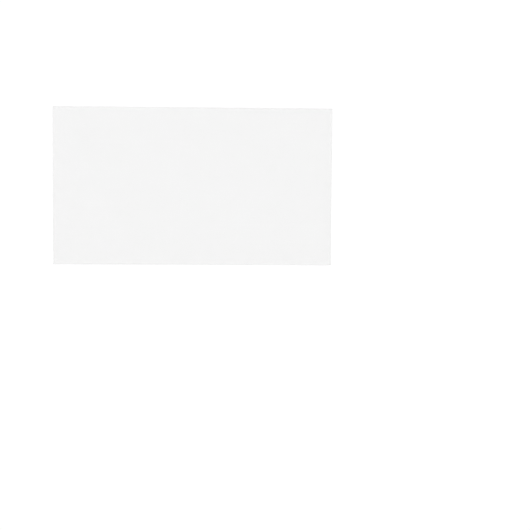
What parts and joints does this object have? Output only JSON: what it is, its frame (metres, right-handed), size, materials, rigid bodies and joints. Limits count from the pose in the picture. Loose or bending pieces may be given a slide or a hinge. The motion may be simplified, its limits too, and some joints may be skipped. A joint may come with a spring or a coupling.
{
  "type": "laptop anti-glare screen protector",
  "caption": "Thin flat rectangular plastic film, translucent, with a matte front and a self-adhesive back, that covers a laptop display to cut glare.",
  "frame": {"origin": "middle of the self-adhesive back face, which lies on the surface below", "axes": "+X along the long side, +Y towards the long edge that meets the top of the display, +Z out of the matte front"},
  "size_m": [0.294, 0.166, 0.0002],
  "materials": {
    "matte_film": "translucent neutral white film with a fine matte anti-glare coat on the front"
  },
  "bodies": {
    "root": {"anti_glare_film": "matte_film"}
  },
  "joints": []
}
